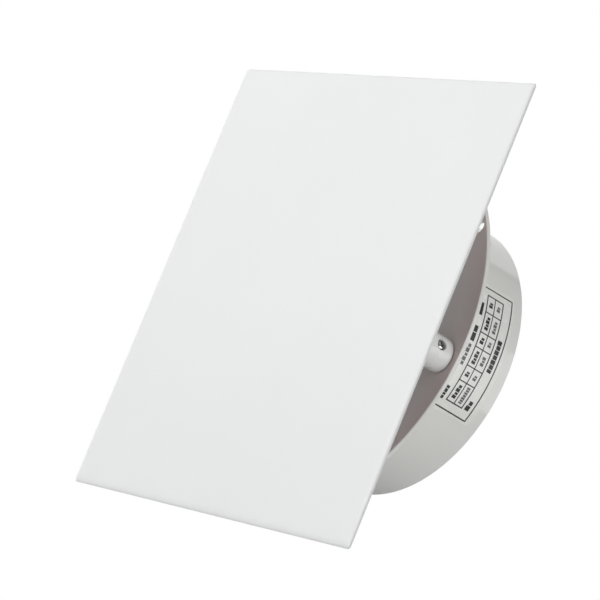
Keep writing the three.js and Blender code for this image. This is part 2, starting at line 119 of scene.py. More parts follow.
def lathe_bm(profile, segments, closed=True, matrix=None):
    """Revolves (radius, y) about the Y axis."""
    bm = bmesh.new()
    rings = []
    for r, y in profile:
        if r < 1e-6:
            rings.append([bm.verts.new((0, y * MM, 0))])
        else:
            rings.append([
                bm.verts.new((r * MM * math.cos(2 * math.pi * k / segments), y * MM, r * MM * math.sin(2 * math.pi * k / segments)))
                for k in range(segments)
            ])
    pairs = list(zip(rings, rings[1:]))
    if closed:
        pairs.append((rings[-1], rings[0]))
    for a, b in pairs:
        for k in range(segments):
            q = (k + 1) % segments
            if len(a) == 1 and len(b) == 1:
                break
            if len(a) == 1:
                bm.faces.new((a[0], b[k], b[q]))
            elif len(b) == 1:
                bm.faces.new((a[k], b[0], a[q]))
            else:
                bm.faces.new((a[k], b[k], b[q], a[q]))
    if matrix is not None:
        bmesh.ops.transform(bm, matrix=matrix, verts=bm.verts)
    return bm


def lathe(name, points, segments=96, closed=True, n=5, matrix=None, smooth=35.0):
    return finish_mesh(lathe_bm(rounded(points, closed, n), segments, closed, matrix), name, smooth)


def outline_rings(rings, name, matrix=None, smooth=35.0, cap=True):
    """Closed loops of 3D points in mm, all of one length, joined in order, the first and last capped."""
    bm = bmesh.new()
    loops = [[bm.verts.new(Vector(p) * MM) for p in ring] for ring in rings]
    for a, b in zip(loops, loops[1:]):
        for k in range(len(a)):
            q = (k + 1) % len(a)
            bm.faces.new((a[k], a[q], b[q], b[k]))
    if cap:
        bm.faces.new(loops[0])
        bm.faces.new(loops[-1])
    if matrix is not None:
        bmesh.ops.transform(bm, matrix=matrix, verts=bm.verts)
    return finish_mesh(bm, name, smooth, merge=1e-8)


def box_bm(x0, x1, y0, y1, z0, z1, matrix=None):
    bm = bmesh.new()
    bmesh.ops.create_cube(bm, size=1.0)
    for v in bm.verts:
        v.co = Vector((
            (x0 if v.co.x < 0 else x1) * MM,
            (y0 if v.co.y < 0 else y1) * MM,
            (z0 if v.co.z < 0 else z1) * MM,
        ))
    if matrix is not None:
        bmesh.ops.transform(bm, matrix=matrix, verts=bm.verts)
    return bm


def bar_bm(r, y0, y1, segments=48, x=0.0, z=0.0, matrix=None):
    t = Matrix.Translation((x * MM, 0, z * MM))
    return lathe_bm([(0, y0), (r, y0), (r, y1), (0, y1)], segments, closed=False, matrix=(matrix @ t) if matrix is not None else t)


def turned(angle):
    """Turns the +X side to an angle about the fan's axis, from +X towards +Z."""
    return Matrix.Rotation(-math.radians(angle), 4, "Y")


def boolean(ob, bms, op="DIFFERENCE", smooth=35.0):
    """Cuts or joins bmeshes, one at a time or as a list of separate bodies at once."""
    if not isinstance(bms, list):
        bms = [bms]
    me = bpy.data.meshes.new("tool")
    both = bmesh.new()
    for b in bms:
        bmesh.ops.recalc_face_normals(b, faces=b.faces)
        part = bpy.data.meshes.new("t")
        b.to_mesh(part)
        b.free()
        both.from_mesh(part)
        bpy.data.meshes.remove(part)
    both.to_mesh(me)
    both.free()
    tool = bpy.data.objects.new("tool", me)
    scene.collection.objects.link(tool)
    mod = ob.modifiers.new("b", "BOOLEAN")
    mod.operation = op
    mod.solver = "EXACT"
    mod.object = tool
    dg = bpy.context.evaluated_depsgraph_get()
    new = bpy.data.meshes.new_from_object(ob.evaluated_get(dg))
    ob.modifiers.clear()
    old = ob.data
    new.name = ob.name
    ob.data = new
    bpy.data.meshes.remove(old)
    bpy.data.objects.remove(tool)
    bpy.data.meshes.remove(me)
    shade(ob.data, smooth)
    return ob


def bevel(ob, width, segments=2, angle=40.0, smooth=35.0):
    mod = ob.modifiers.new("bevel", "BEVEL")
    mod.width = width * MM
    mod.segments = segments
    mod.limit_method = "ANGLE"
    mod.angle_limit = math.radians(angle)
    mod.harden_normals = False
    mod.use_clamp_overlap = True
    dg = bpy.context.evaluated_depsgraph_get()
    new = bpy.data.meshes.new_from_object(ob.evaluated_get(dg))
    ob.modifiers.clear()
    old = ob.data
    ob.data = new
    bpy.data.meshes.remove(old)
    shade(ob.data, smooth)
    return ob


def move(ob, matrix):
    ob.data.transform(matrix)
    ob.data.update()
    return ob


# ------------------------------------------------------------------ materials
def nodes_of(name):
    mat = bpy.data.materials.new(name)
    mat.use_nodes = True
    nt = mat.node_tree
    return mat, nt, nt.nodes["Principled BSDF"]


def noise(nt, scale, detail=3.0, rough=0.55, coords="Object"):
    tc = nt.nodes.new("ShaderNodeTexCoord")
    no = nt.nodes.new("ShaderNodeTexNoise")
    no.inputs["Scale"].default_value = scale
    no.inputs["Detail"].default_value = detail
    no.inputs["Roughness"].default_value = rough
    nt.links.new(tc.outputs[coords], no.inputs["Vector"])
    return no


def ramp(nt, source, lo, hi, a, b):
    mr = nt.nodes.new("ShaderNodeMapRange")
    mr.inputs["From Min"].default_value = lo
    mr.inputs["From Max"].default_value = hi
    mr.inputs["To Min"].default_value = a
    mr.inputs["To Max"].default_value = b
    nt.links.new(source, mr.inputs["Value"])
    return mr.outputs["Result"]


def blend(nt, factor, a, b):
    mx = nt.nodes.new("ShaderNodeMix")
    mx.data_type = "RGBA"
    mx.inputs["A"].default_value = (*a, 1)
    mx.inputs["B"].default_value = (*b, 1)
    nt.links.new(factor, mx.inputs["Factor"])
    return mx.outputs["Result"]


def moulded(name, colour, rough, spread=0.04, tint=0.012, grain=0.02, grain_scale=2600.0, cloud=28.0, coat=0.0, ior=1.47):
    """Moulded plastic: faint cloudy tone and gloss, and the fine skin that the mould leaves."""
    mat, nt, b = nodes_of(name)
    big = noise(nt, cloud, 4.0)
    lo = tuple(max(0.0, c - tint) for c in colour)
    hi = tuple(min(1.0, c + tint) for c in colour)
    nt.links.new(blend(nt, ramp(nt, big.outputs["Fac"], 0.3, 0.7, 0, 1), lo, hi), b.inputs["Base Color"])
    mid = noise(nt, cloud * 6, 5.0)
    nt.links.new(ramp(nt, mid.outputs["Fac"], 0.3, 0.7, rough - spread, rough + spread), b.inputs["Roughness"])
    fine = noise(nt, grain_scale, 2.0)
    bump = nt.nodes.new("ShaderNodeBump")
    bump.inputs["Strength"].default_value = grain
    bump.inputs["Distance"].default_value = 0.0002
    nt.links.new(fine.outputs["Fac"], bump.inputs["Height"])
    nt.links.new(bump.outputs["Normal"], b.inputs["Normal"])
    b.inputs["IOR"].default_value = ior
    if coat:
        b.inputs["Coat Weight"].default_value = coat
        b.inputs["Coat Roughness"].default_value = 0.08
    return mat


def metal(name, colour, rough, spread=0.08, scale=900.0, stretch=(1, 1, 1), bump=0.02):
    """Bare or plated metal: uneven gloss from fine tool marks."""
    mat, nt, b = nodes_of(name)
    b.inputs["Metallic"].default_value = 1.0
    tc = nt.nodes.new("ShaderNodeTexCoord")
    mp = nt.nodes.new("ShaderNodeMapping")
    mp.inputs["Scale"].default_value = stretch
    nt.links.new(tc.outputs["Object"], mp.inputs["Vector"])
    no = nt.nodes.new("ShaderNodeTexNoise")
    no.inputs["Scale"].default_value = scale
    no.inputs["Detail"].default_value = 4.0
    nt.links.new(mp.outputs["Vector"], no.inputs["Vector"])
    lo = tuple(c * 0.93 for c in colour)
    hi = tuple(min(1.0, c * 1.05) for c in colour)
    nt.links.new(blend(nt, no.outputs["Fac"], lo, hi), b.inputs["Base Color"])
    nt.links.new(ramp(nt, no.outputs["Fac"], 0.3, 0.7, max(0.02, rough - spread), rough + spread), b.inputs["Roughness"])
    bp = nt.nodes.new("ShaderNodeBump")
    bp.inputs["Strength"].default_value = bump
    bp.inputs["Distance"].default_value = 0.0001
    nt.links.new(no.outputs["Fac"], bp.inputs["Height"])
    nt.links.new(bp.outputs["Normal"], b.inputs["Normal"])
    return mat


def painted_shade_front(mat, inner, colour, y_from, y_to):
    """Paints shade onto a flat front face, by the place on the part: a second, darker tone that deepens outwards takes
    over there as painted shade.
    """
    nt = mat.node_tree
    b = nt.nodes["Principled BSDF"]
    tc = nt.nodes.new("ShaderNodeTexCoord")
    xyz = nt.nodes.new("ShaderNodeSeparateXYZ")
    nt.links.new(tc.outputs["Object"], xyz.inputs["Vector"])
    # mask of the flange's front face, where the painted shade goes
    painted_shade_mask = nt.nodes.new("ShaderNodeMath")
    painted_shade_mask.operation = "MULTIPLY"
    nt.links.new(ramp(nt, xyz.outputs["Y"], y_from, y_to, 0, 1), painted_shade_mask.inputs[0])
    nt.links.new(ramp(nt, xyz.outputs["Y"], y_to - 0.00035, y_to - 0.0002, 0, 1), painted_shade_mask.inputs[1])
    painted_shade_mask = painted_shade_mask.outputs["Value"]
    old = b.inputs["Base Color"].links[0].from_socket
    flat = nt.nodes.new("ShaderNodeVectorMath")
    flat.operation = "MULTIPLY"
    flat.inputs[1].default_value = (1, 0, 1)
    nt.links.new(tc.outputs["Object"], flat.inputs[0])
    radius = nt.nodes.new("ShaderNodeVectorMath")
    radius.operation = "LENGTH"
    nt.links.new(flat.outputs["Vector"], radius.inputs[0])
    # painted shade colour: from the inner tone to the darker, warmer outer tone at the rim
    tone = blend(nt, ramp(nt, radius.outputs["Value"], 0.058, 0.079, 0, 1), inner, colour)
    mx = nt.nodes.new("ShaderNodeMix")
    mx.data_type = "RGBA"
    nt.links.new(painted_shade_mask, mx.inputs["Factor"])
    nt.links.new(old, mx.inputs["A"])
    nt.links.new(tone, mx.inputs["B"])
    nt.links.new(mx.outputs["Result"], b.inputs["Base Color"])
    return mat


PANEL = moulded("panel_white", (0.83, 0.84, 0.835), 0.33, spread=0.03, tint=0.006, grain=0.015, cloud=14.0)
HOUSING = moulded("housing_white", (0.80, 0.80, 0.775), 0.09, spread=0.04, tint=0.008, grain=0.012, cloud=30.0)
POST = moulded("post_white", (0.80, 0.80, 0.785), 0.27, spread=0.04, tint=0.008, grain=0.015, cloud=40.0)
# painted shade on the flange's front face in the gap behind the panel: darker and warmer, deepening towards the rim;
# the plastic itself is the plain housing white
FLANGE_PAINTED_SHADE = painted_shade_front(
    moulded("housing_white_flange_painted_shade", (0.80, 0.80, 0.775), 0.09, spread=0.04, tint=0.008, grain=0.012, cloud=30.0),
    (0.77, 0.735, 0.72), (0.67, 0.57, 0.56), -0.00185, -0.00196)
IMPELLER = moulded("impeller_white", (0.76, 0.77, 0.775), 0.38, spread=0.05, tint=0.014, grain=0.03, cloud=45.0)
CASE = moulded("motor_case", (0.62, 0.625, 0.63), 0.5, spread=0.06, tint=0.02, grain=0.12, grain_scale=1800.0, cloud=60.0)
LABEL = moulded("label_vinyl", (0.84, 0.84, 0.81), 0.26, spread=0.05, tint=0.008, grain=0.01, cloud=60.0)
PRINT_GREY = moulded("label_print_grey", (0.13, 0.13, 0.135), 0.42, spread=0.06, tint=0.03, grain=0.05, grain_scale=9000.0, cloud=900.0)
PRINT = moulded("label_print", (0.024, 0.024, 0.026), 0.42, spread=0.06, tint=0.01, grain=0.05, grain_scale=9000.0, cloud=400.0)
CHROME = metal("chrome_screw", (0.42, 0.43, 0.44), 0.16, spread=0.05)
ZINC = metal("zinc_screw", (0.62, 0.635, 0.65), 0.3, spread=0.1)
STEEL = metal("steel", (0.5, 0.51, 0.52), 0.34, spread=0.1, stretch=(1, 12, 1))
LAMINATIONS = metal("laminations", (0.26, 0.26, 0.27), 0.5, spread=0.12, scale=2600.0, stretch=(0.15, 1, 0.15), bump=0.25)
COPPER = metal("copper_winding", (0.55, 0.23, 0.1), 0.35, spread=0.12, scale=1800.0, stretch=(1, 0.1, 1), bump=0.35)
IVORY = moulded("terminal_ivory", (0.70, 0.66, 0.55), 0.48, spread=0.06, tint=0.02, grain=0.06, cloud=80.0)
RUBBER = moulded("black_rubber", (0.022, 0.022, 0.023), 0.72, spread=0.08, tint=0.006, grain=0.25, grain_scale=1500.0, cloud=120.0)
JACKET = moulded("lead_jacket", (0.66, 0.66, 0.64), 0.5, spread=0.06, tint=0.02, grain=0.1, grain_scale=1400.0, cloud=90.0)
NYLON = moulded("tie_nylon", (0.03, 0.03, 0.032), 0.45, spread=0.06, tint=0.008, grain=0.1, grain_scale=1500.0, cloud=120.0)

SLOT_MATERIAL = {
    "panel_white": PANEL, "housing_white": HOUSING, "impeller_white": IMPELLER, "motor_case": CASE,
    "label_vinyl": LABEL, "chrome_screw": CHROME, "zinc_screw": ZINC, "steel": STEEL, "laminations": LAMINATIONS,
    "copper_winding": COPPER, "terminal_ivory": IVORY, "black_rubber": RUBBER, "lead_jacket": JACKET, "tie_nylon": NYLON,
}
for row in frame["record"]["subparts"]:
    ob = frame["nodes"][row["node"]]
    ob.data.materials.clear()
    ob.data.materials.append(SLOT_MATERIAL[row["material_slot"]])


def place(ob, material, body, slot, *nodes):
    ob.data.materials.clear()
    ob.data.materials.append(material)
    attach(ob, body)
    if nodes:
        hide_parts(*nodes)
    return ob


# ------------------------------------------------------------------ front panel
HALF, P_FRONT, P_WIDE, P_BACK = 94.8, -28.3, -27.4, -25.8


def panel_ring(inset, y, corner=1.6, steps=8):
    r = max(corner - 0.45 * inset, 0.3)
    h = HALF - inset - r
    pts = []
    for q, (sx, sz) in enumerate(((1, 1), (-1, 1), (-1, -1), (1, -1))):
        for k in range(steps + 1):
            a = math.pi / 2 * (q + k / steps)
            pts.append((sx * h + r * math.cos(a), y, sz * h + r * math.sin(a)))
    return pts


ROUND = 2.8  # width of the front edge's rounding
edge = [(ROUND + 0.5, P_FRONT), (ROUND + 0.06, P_FRONT)]
for k in range(15):
    a = math.pi / 2 * k / 14
    edge.append((ROUND * (1 - math.sin(a)), P_WIDE + (P_FRONT - P_WIDE) * math.cos(a)))
edge += [(0.05, P_WIDE + 0.06), (0.14, P_WIDE + 0.12)]
edge += [(2.3, P_BACK - 0.1), (2.45, P_BACK - 0.02), (2.6, P_BACK), (3.0, P_BACK)]
panel = outline_rings([panel_ring(i, y) for i, y in edge], "front_panel_shell")
place(panel, PANEL, "panel", "panel_white", "front_panel")

# ------------------------------------------------------------------ housing
FR, SPIGOT_END = 80.0, 40.45
POST_R, POST_AT, CLAMP_Y, CLAMP_DIR = 70.35, -7.46, -8.68, 22.5
housing = lathe("housing_moulding", [
    (57.3, SPIGOT_END, 0.45), (57.3, -2.0, 4.0), (FR, -2.0, 0.6), (FR, 0.0, 0.35), (59.3, 0.0, 0.25), (59.3, SPIGOT_END, 0.5),
], segments=288, n=6)
adds = []
for a in (POST_AT, POST_AT + 180):
    adds.append(lathe_bm(rounded([(0, -14), (3.5, -14, 0.8), (3.5, -1.2), (0, -1.2)], False), 48, False,
                         turned(a) @ Matrix.Translation((POST_R * MM, 0, 0))))
for a in (45, 135, 225, 315):
    adds.append(lathe_bm(rounded([(0, -8), (4, -8, 0.3), (4, -2.4, 0.0), (4.7, -1.6), (4.7, -1.2), (0, -1.2)], False), 48, False,
                         turned(a) @ Matrix.Translation((66 * MM, 0, 0))))
for r in (66.0, 74.2):
    adds.append(lathe_bm(rounded([(0, -6), (2.1, -6, 0.2), (2.1, -1.2), (0, -1.2)], False), 32, False,
                         turned(270) @ Matrix.Translation((r * MM, 0, 0))))
adds.append(lathe_bm(rounded([(0, -12.8), (2.2, -12.8, 0.2), (2.2, -1.2), (0, -1.2)], False), 32, False,
                     turned(262.2) @ Matrix.Translation((70.1 * MM, 0, 0))))
boolean(housing, adds, "UNION")
cuts = []
for a in (45, 135, 225, 315):
    cuts.append(bar_bm(1.5, -9, -2.4, 32, 66, 0, turned(a)))
for r in (66.0, 74.2):
    cuts.append(bar_bm(1.3, -7, -2.2, 24, r, 0, turned(270)))
cuts.append(bar_bm(1.3, -14, -4, 24, 70.1, 0, turned(262.2)))
cuts.append(bar_bm(5.2, -3, 1, 64, 70.1, 0, turned(282.5)))
for i in range(4):
    cuts.append(lathe_bm([(0, -3), (3.2, -3), (3.14, -2.06), (2.98, -1.9), (2.1, -0.9), (2.1, 1), (0, 1)], 64, False,
                         turned(36.4 + 90 * i) @ Matrix.Translation((75.8 * MM, 0, 0))))
boolean(housing, cuts)
place(housing, FLANGE_PAINTED_SHADE, "housing", "housing_white", "duct_spigot", "wall_flange", "panel_stud_right", "panel_stud_left",
      "bracket_boss_upper_right", "bracket_boss_upper_left", "bracket_boss_lower_left", "bracket_boss_lower_right",
      "clamp_boss_inner", "clamp_boss_outer", "cover_boss")

# ------------------------------------------------------------------ panel posts
for side, a, facing in (("right", POST_AT, CLAMP_DIR), ("left", POST_AT + 180, CLAMP_DIR + 180)):
    spot = turned(a) @ Matrix.Translation((POST_R * MM, 0, 0)) @ turned(facing - a)
    post = lathe("post_" + side, [
        (0, P_BACK), (10.4, P_BACK, 0.15), (10.4, P_BACK + 1.8, 0.7), (7.08, P_BACK + 2.0, 1.4), (7.08, -2.25, 0.55),
        (3.85, -2.25, 0.3), (3.85, -16.0, 0.2), (0, -16.0),
    ], segments=96, closed=False, n=6)
    along_x = Matrix.Rotation(-math.pi / 2, 4, "Z")  # the lathe's +Y turns to +X
    lift = Matrix.Translation((0, CLAMP_Y * MM, 0))
    boolean(post, lathe_bm([(0, 2.0), (1.75, 2.0), (1.75, 5.18), (2.3, 5.18), (2.3, 9.5), (0, 9.5)], 64, False, lift @ along_x))
    bevel(post, 0.14, 2, angle=50)
    move(post, spot)
    place(post, POST, "panel", "housing_white", "panel_post_" + side)


def cross_cutter(w, l, y0, y1):
    """Two crossed wedges, as a cross-head driver leaves them: w by l at y0, narrower at y1."""
    out = []
    for turn in (0, 90):
        bm = box_bm(-l / 2, l / 2, y0, y1, -w / 2, w / 2)
        for v in bm.verts:
            if v.co.y > (y0 + y1) / 2 * MM:
                v.co.x *= 0.42
                v.co.z *= 0.6
        bmesh.ops.transform(bm, matrix=Matrix.Rotation(math.radians(turn), 4, "Y"), verts=bm.verts)
        out.append(bm)
    return out


def pan_screw(name, head, high, shank, length, matrix, segments=64, recess=(0.34, 1.24, 0.7)):
    """A pan-head screw along Y, its head towards -Y."""
    prof = [(0, -high)]
    for k in range(1, 11):
        a = math.pi / 2 * k / 10
        prof.append((head * math.sin(a) ** 0.82, -high * (0.36 + 0.64 * math.cos(a) ** 0.9) if k < 10 else -high * 0.36))
    prof += [(head, -0.12), (head - 0.12, 0), (shank, 0)]
    # rolled thread as rings
    pitch = 0.5 if shank < 1.2 else 0.7
    y = 0.6
    while y < length - shank - pitch:
        prof += [(shank, y), (shank * 0.86, y + pitch * 0.45), (shank, y + pitch * 0.9)]
        y += pitch
    prof += [(shank, length - shank * 0.8), (shank * 0.5, length), (0, length)]
    ob = finish_mesh(lathe_bm(prof, segments, False), name, 32)
    w, l, deep = recess
    for c in cross_cutter(head * w, head * l, -high - 0.3, -high * (1 - deep)):
        boolean(ob, c)
    move(ob, matrix)
    return ob


def along(direction):
    """Turns +Y to a direction."""
    return Vector((0, 1, 0)).rotation_difference(Vector(direction)).to_matrix().to_4x4()


for side, a, facing in (("right", POST_AT, CLAMP_DIR), ("left", POST_AT + 180, CLAMP_DIR + 180)):
    out = Vector((math.cos(math.radians(facing)), 0, math.sin(math.radians(facing))))
    seat = Vector((POST_R * math.cos(math.radians(a)), CLAMP_Y, POST_R * math.sin(math.radians(a)))) + out * (7.08 - 1.6)
    s = pan_screw("clamp_screw_" + side + "_fine", 2.0, 1.5, 1.4, 1.65, Matrix.Translation(seat * MM) @ along(-out) @ Matrix.Rotation(math.radians(28), 4, "Y"),
                  recess=(0.22, 0.86, 0.5))
    place(s, CHROME, side + "_clamp_screw", "chrome_screw", "clamp_screw_" + side)

# ------------------------------------------------------------------ motor bracket
Y0, TOP = -10.0, -8.0
bracket = lathe("bracket_moulding", [(11.1, Y0 - 2.6, 0.35), (15, Y0 - 2.6, 0.35), (15, Y0, 0.6), (28, Y0, 0.3), (28, TOP, 0.2), (11.1, TOP, 0.2)], segments=144)
arms = []
for a in (45, 135, 225, 315):
    pts = [(22, -5)]
    for k in range(25):
        g = -math.pi / 2 + math.pi * k / 24
        pts.append((66 + 4.8 * math.cos(g), 4.8 * math.sin(g)))
    pts.append((22, 5))
    bm = bmesh.new()
    lo = [bm.verts.new((x * MM, (Y0 + 0.001) * MM, z * MM)) for x, z in pts]
    hi = [bm.verts.new((x * MM, (TOP - 0.001) * MM, z * MM)) for x, z in pts]
    bm.faces.new(lo)
    bm.faces.new(hi)
    for k in range(len(pts)):
        q = (k + 1) % len(pts)
        bm.faces.new((lo[k], lo[q], hi[q], hi[k]))
    bmesh.ops.transform(bm, matrix=turned(a), verts=bm.verts)
    arms.append(bm)
for bm in arms:
    boolean(bracket, bm, "UNION")
for a in (45, 135, 225, 315):
    rib = box_bm(14, 58, Y0 - 2.58, Y0 + 0.4, -1, 1)
    for v in rib.verts:
        if v.co.x > 0.05 and v.co.y < (Y0 - 1) * MM:
            v.co.x -= 2.2 * MM
            v.co.y += 1.6 * MM
    bmesh.ops.transform(rib, matrix=turned(a), verts=rib.verts)
    boolean(bracket, rib, "UNION")
cuts = []
for a in (45, 135, 225, 315):
    cuts.append(bar_bm(1.8, Y0 - 1, TOP + 1, 32, 66, 0, turned(a)))
    cuts.append(lathe_bm([(0, Y0 - 4), (3.4, Y0 - 4), (3.4, Y0 - 0.002), (1.9, Y0 - 0.002), (1.9, TOP + 1), (0, TOP + 1)], 48, False,
                         turned(a) @ Matrix.Translation((19.8 * MM, 0, 0))))
boolean(bracket, cuts)
bevel(bracket, 0.22, 2, angle=50)
place(bracket, HOUSING, "housing", "housing_white", "motor_bracket")

SIDES = ("upper_right", "upper_left", "lower_left", "lower_right")
for i, a in enumerate((45, 135, 225, 315)):
    spin = Matrix.Rotation(math.radians(17 + 31 * i), 4, "Y")
    s = pan_screw("bracket_screw_%s_fine" % SIDES[i], 3, 1.9, 1.15, 6.5, turned(a) @ Matrix.Translation((66 * MM, Y0 * MM, 0)) @ spin)
    place(s, ZINC, "housing", "zinc_screw", "bracket_screw_" + SIDES[i])
    s = pan_screw("motor_screw_%s_fine" % SIDES[i], 2.7, 1.8, 1.45, 27.2, turned(a) @ Matrix.Translation((19.8 * MM, Y0 * MM, 0)) @ spin)
    place(s, ZINC, "housing", "zinc_screw", "motor_screw_" + SIDES[i])

# ------------------------------------------------------------------ motor case, shaft end
front = lathe("motor_case_front", [
    (0, -12), (10.5, -12, 0.8), (10.5, -8, 0.0), (27, -8, 1.2), (27, 5.7, 0.15), (25.3, 5.7, 0.1), (25.3, -6.5, 0.8),
    (8.15, -6.5, 0.2), (8.15, -11.2), (0, -11.2),
], segments=144, closed=False)
cuts = [bar_bm(1.9, -9, -6, 32, 19.8, 0, turned(a)) for a in (45, 135, 225, 315)]
cuts.append(lathe_bm([(0, 23), (2, 23), (2, 30), (0, 30)], 48, False, turned(229) @ Matrix.Translation((0, -4.4 * MM, 0)) @ Matrix.Rotation(-math.pi / 2, 4, "Z")))
boolean(front, cuts)
place(front, CASE, "housing", "motor_case", "motor_shell_front")
rear = lathe("motor_case_rear", [
    (4, 20, 0.2), (12, 20, 0.3), (13, 19.5, 0.3), (18, 19.5, 0.3), (19, 20, 0.3), (27, 20, 1.8), (27, 6.3, 0.15), (25.3, 6.3, 0.1), (25.3, 18.3, 0.8), (10.5, 18.3, 0.4), (10.5, 13.5, 0.2),
    (8.15, 13.5, 0.2), (8.15, 18.7), (4, 18.7),
], segments=144)
place(rear, CASE, "housing", "motor_case", "motor_shell_rear")

# ------------------------------------------------------------------ impeller
hub = lathe("impeller_moulding", [
    (2.58, 23, 0.2), (6, 23, 0.3), (6.4, 32), (9, 32, 0.3), (11, 35.8, 0.5), (24, 35.8, 0.8), (24, 22, 0.3), (26, 22, 0.4), (26, 38, 2.2), (11.4, 38, 0.6), (9.2, 34, 0.6), (2.58, 34, 0.2),
], segments=168, n=6)
TIP = 55.5


def blade_point(a, c, side):
    """a from root to tip, c along the chord from -0.5 (leading) to 0.5, side -1 or 1 for the two faces."""
    r = 24.9 + a * (TIP - 24.9)
    pitch = math.radians(47 - 21 * a)
    chord = 18.5 + 11 * a
    # tip corners rounded off
    if a > 0.9:
        t = (a - 0.9) / 0.1
        chord *= 1 - 0.16 * t * t
    foot = 1.6 * math.exp(-max(r - 26.0, 0) / 1.3)
    edge = max(0.0, 1 - (2 * abs(c)) ** 3.2) ** 0.5
    thick = (2.0 - 0.8 * a + foot) * edge * (1 - 0.25 * (c + 0.5))
    camber = 0.05 * chord * (1 - 4 * c * c)
    s = c * chord
    n = side * thick / 2 + camber
    tang = s * math.cos(pitch) - n * math.sin(pitch)
    axial = s * math.sin(pitch) + n * math.cos(pitch)
    g = tang / r - math.radians(9) * a * a
    return Vector((r * math.cos(g), 30 + axial, r * math.sin(g))) * MM


def blade_bm(turn, na=22, nc=24):
    bm = bmesh.new()
    rings = []
    for i in range(na + 1):
        a = i / na
        ring = []
        for k in range(nc + 1):
            ring.append(bm.verts.new(blade_point(a, -0.5 * math.cos(math.pi * k / nc), 1)))
        for k in range(nc - 1, 0, -1):
            ring.append(bm.verts.new(blade_point(a, -0.5 * math.cos(math.pi * k / nc), -1)))
        rings.append(ring)
    for p, q in zip(rings, rings[1:]):
        for k in range(len(p)):
            j = (k + 1) % len(p)
            bm.faces.new((p[k], p[j], q[j], q[k]))
    for ring in (rings[0], rings[-1]):
        for k in range(nc):
            up0, up1 = ring[k], ring[k + 1]
            dn0, dn1 = ring[(2 * nc - k) % (2 * nc)], ring[(2 * nc - k - 1) % (2 * nc)]
            corner = []
            for v in (up0, up1, dn1, dn0):
                if v not in corner:
                    corner.append(v)
            if len(corner) > 2:
                bm.faces.new(corner)
    bmesh.ops.transform(bm, matrix=turned(turn), verts=bm.verts)
    return bm


boolean(hub, [blade_bm(360 / 7 * i + 12) for i in range(7)], "UNION", smooth=38)
place(hub, IMPELLER, "rotor", "impeller_white", "impeller")

washer = lathe("washer_fine", [(2.2, 34.15, 0.1), (6.2, 34.15, 0.1), (6.2, 34.95, 0.2), (2.2, 34.95, 0.1)], segments=72)
place(washer, ZINC, "rotor", "zinc_screw", "impeller_washer")

nut = lathe("nut_fine", [(2.1, 35.1, 0.25), (4.05, 35.1), (4.05, 38.1), (2.1, 38.1, 0.25)], segments=72)
bms = []
for k in range(6):
    b = box_bm(3.5, 8, 30, 42, -8, 8, turned(60 * k + 30))
    bms.append(b)
for b in bms:
    boolean(nut, b)
# the turned chamfer on both faces of a hexagon nut
cone = lathe_bm([(0, 33.0), (1.6, 33.0), (5.2, 36.2), (5.2, 37.0), (1.6, 40.2), (0, 40.2)], 72, False)
boolean(nut, cone, "INTERSECT")
place(nut, ZINC, "rotor", "zinc_screw", "impeller_nut")

prof = [(0, -10.8), (2.1, -10.8), (2.5, -10.4), (2.5, 33.9), (1.95, 33.9)]
y = 34.2
while y < 38.2:
    prof += [(1.95, y), (1.7, y + 0.32), (1.95, y + 0.64)]
    y += 0.7
prof += [(1.95, 38.6), (1.6, 39), (0, 39)]
shaft = finish_mesh(lathe_bm(prof, 64, False), "shaft_fine", 32)
place(shaft, STEEL, "rotor", "steel", "motor_shaft")


# ------------------------------------------------------------------ terminal cover
def sector_ring(inset, y, r0=61.8, r1=78.4, a0=238.0, a1=291.0, corner=2.2, steps=6, arc=40):
    """A sector's outline drawn in by inset, with rounded corners."""
    r0, r1 = r0 + inset, r1 - inset
    pts = []
    cr = max(corner - inset, 0.25)

    def polar(r, g):
        return (r * math.cos(g), y, r * math.sin(g))

    def span(r):
        d = inset / r
        return math.radians(a0) + d, math.radians(a1) - d

    # outer arc, inner arc, with corners rounded by circles tangent to both
    def corner_pts(ra, g_edge, outer, start):
        rc = ra - cr if outer else ra + cr
        off = cr / rc
        gc = g_edge - off if start else g_edge + off
        cx, cz = rc * math.cos(gc), rc * math.sin(gc)
        return cx, cz, gc

    g0o, g1o = span(r1)
    g0i, g1i = span(r0)
    # start on the outer arc just after its first corner
    cx, cz, gc0 = corner_pts(r1, g0o, True, False)
    cx1, cz1, gc1 = corner_pts(r1, g1o, True, True)
    for k in range(arc + 1):
        pts.append(polar(r1, gc0 + (gc1 - gc0) * k / arc))
    for k in range(1, steps + 1):
        g = gc1 + math.pi / 2 * k / steps
        pts.append((cx1 + cr * math.cos(g), y, cz1 + cr * math.sin(g)))
    cx2, cz2, gc2 = corner_pts(r0, g1i, False, True)
    for k in range(steps + 1):
        g = gc2 + math.pi / 2 + math.pi / 2 * k / steps
        pts.append((cx2 + cr * math.cos(g), y, cz2 + cr * math.sin(g)))
    cx3, cz3, gc3 = corner_pts(r0, g0i, False, False)
    for k in range(1, arc):
        pts.append(polar(r0, gc2 + (gc3 - gc2) * k / arc))
    for k in range(steps + 1):
        g = gc3 + math.pi + math.pi / 2 * k / steps
        pts.append((cx3 + cr * math.cos(g), y, cz3 + cr * math.sin(g)))
    for k in range(steps):
        g = gc0 - math.pi / 2 + math.pi / 2 * k / steps
        pts.append((cx + cr * math.cos(g), y, cz + cr * math.sin(g)))
    return pts


